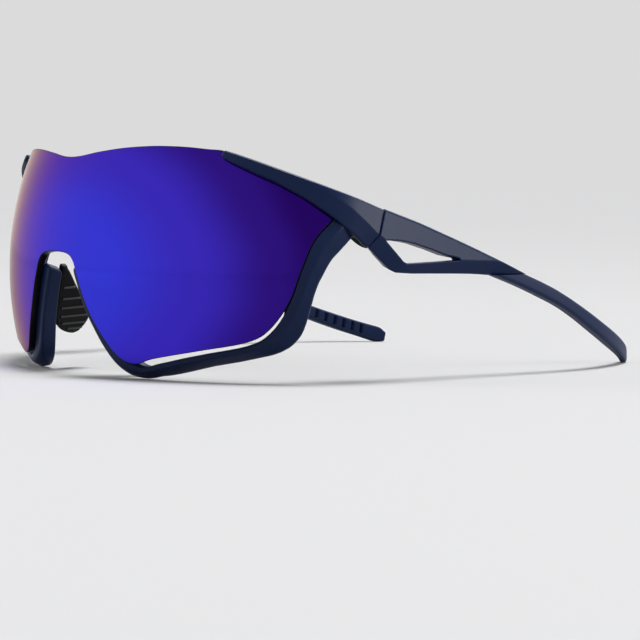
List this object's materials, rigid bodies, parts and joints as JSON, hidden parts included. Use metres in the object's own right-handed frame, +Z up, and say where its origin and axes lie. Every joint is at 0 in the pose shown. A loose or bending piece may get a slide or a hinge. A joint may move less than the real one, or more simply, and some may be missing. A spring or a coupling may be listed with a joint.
{
  "type": "wraparound sport sunglasses",
  "caption": "Wraparound sport sunglasses: mirrored spherical shield lens on two half frames, ribbed nose pads and temples that fold on screw hinges.",
  "frame": {"origin": "middle of the bounding box, on the surface the sunglasses stand on", "axes": "+Z up, -Y towards what the wearer looks at, +X towards the wearer's left; temples open"},
  "size_m": [0.1466, 0.1512, 0.0586],
  "materials": {
    "lens": "blue and violet mirror coating on smoked polycarbonate",
    "frame": "satin navy",
    "grip": "soft matt navy",
    "pad": "soft matt black",
    "block": "matt black",
    "metal": "turned steel"
  },
  "bodies": {
    "front": {"shield_lens": "lens", "brow_arm_left": "frame", "brow_arm_right": "frame", "lower_rim_left": "frame", "lower_rim_right": "frame", "nose_pad_left": "pad", "nose_pad_right": "pad", "hinge_block_left": "block", "hinge_block_right": "block", "hinge_screw_left": "metal", "hinge_screw_right": "metal", "frame_screw_left": "metal", "frame_screw_right": "metal"},
    "left_temple": {"temple_arm_left": "frame", "ear_grip_left": "grip", "hinge_leaf_left": "metal", "leaf_screw_left": "metal"},
    "right_temple": {"temple_arm_right": "frame", "ear_grip_right": "grip", "hinge_leaf_right": "metal", "leaf_screw_right": "metal"}
  },
  "joints": [
    {"name": "left_temple_fold", "type": "hinge", "parent": "front", "child": "left_temple", "pos_m": [0.06463, -0.0257, 0.03915], "axis": [0, 0, 1], "range_deg": [0, 94]},
    {"name": "right_temple_fold", "type": "hinge", "parent": "front", "child": "right_temple", "pos_m": [-0.06463, -0.0257, 0.03915], "axis": [0, 0, -1], "range_deg": [0, 85]}
  ]
}
